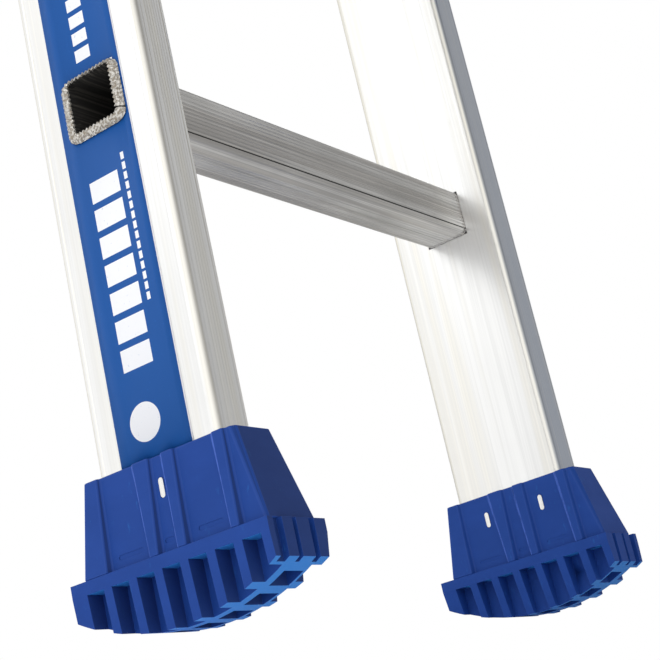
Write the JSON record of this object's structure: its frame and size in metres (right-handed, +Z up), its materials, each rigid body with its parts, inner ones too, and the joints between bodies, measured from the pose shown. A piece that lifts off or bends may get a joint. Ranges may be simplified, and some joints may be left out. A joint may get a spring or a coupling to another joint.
{
  "type": "extension ladder",
  "caption": "Two-section aluminium push-up extension ladder leaning at its working angle, with box stiles, square rungs, sliding fly section and moulded shoes.",
  "frame": {"origin": "on the floor, under the middle of the leaning ladder's box", "axes": "+X to the right across the ladder as the climber faces it, +Y towards the wall it leans on, +Z up; the stiles lean 15 degrees from +Z towards +Y"},
  "size_m": [0.3568, 0.692, 2.5498],
  "materials": {
    "stile_aluminium": "satin extruded",
    "rung_aluminium": "fluted extruded",
    "cast_aluminium": "cast, tumbled",
    "zinc_steel": "zinc plated",
    "shoe_plastic": "moulded, semi-matt",
    "sole_rubber": "moulded rubber",
    "label_film": "printed film",
    "cap_plastic": "moulded"
  },
  "bodies": {
    "base": {"base_stile_left": "stile_aluminium", "shoe_sleeve_left": "shoe_plastic", "shoe_sole_left": "sole_rubber", "shoe_rivet_left": "zinc_steel", "base_label_left": "label_film", "base_cap_left": "cap_plastic", "base_guide_left": "cast_aluminium", "base_stile_right": "stile_aluminium", "shoe_sleeve_right": "shoe_plastic", "shoe_sole_right": "sole_rubber", "shoe_rivet_right": "zinc_steel", "base_label_right": "label_film", "base_cap_right": "cap_plastic", "base_guide_right": "cast_aluminium", "base_rung_1": "rung_aluminium", "base_rung_2": "rung_aluminium", "base_rung_3": "rung_aluminium", "base_rung_4": "rung_aluminium", "base_rung_5": "rung_aluminium", "base_rung_6": "rung_aluminium", "base_rung_7": "rung_aluminium", "base_rung_8": "rung_aluminium"},
    "fly": {"fly_stile_left": "stile_aluminium", "fly_label_left": "label_film", "fly_top_cap_left": "cap_plastic", "fly_foot_cap_left": "cap_plastic", "fly_guide_left": "cast_aluminium", "hook_left": "cast_aluminium", "catch_pin_left": "zinc_steel", "fly_stile_right": "stile_aluminium", "fly_label_right": "label_film", "fly_top_cap_right": "cap_plastic", "fly_foot_cap_right": "cap_plastic", "fly_guide_right": "cast_aluminium", "hook_right": "cast_aluminium", "catch_pin_right": "zinc_steel", "fly_rung_1": "rung_aluminium", "fly_rung_2": "rung_aluminium", "fly_rung_3": "rung_aluminium", "fly_rung_4": "rung_aluminium", "fly_rung_5": "rung_aluminium", "fly_rung_6": "rung_aluminium", "fly_rung_7": "rung_aluminium", "fly_rung_8": "rung_aluminium"},
    "catch_left": {"catch_left": "zinc_steel"},
    "catch_right": {"catch_right": "zinc_steel"}
  },
  "joints": [
    {"name": "fly_slide", "type": "slide", "parent": "base", "child": "fly", "axis": [0, 0.2588, 0.9659], "range_m": [0, 1.4]},
    {"name": "catch_left_pivot", "type": "hinge", "parent": "fly", "child": "catch_left", "pos_m": [-0.136, -0.20962, 0.51103], "axis": [1, 0, 0], "range_deg": [-45, 0], "stiffness_Nm_per_rad": 0.2, "springref_deg": 20.05},
    {"name": "catch_right_pivot", "type": "hinge", "parent": "fly", "child": "catch_right", "pos_m": [0.136, -0.20962, 0.51103], "axis": [1, 0, 0], "range_deg": [-45, 0], "stiffness_Nm_per_rad": 0.2, "springref_deg": 20.05}
  ]
}
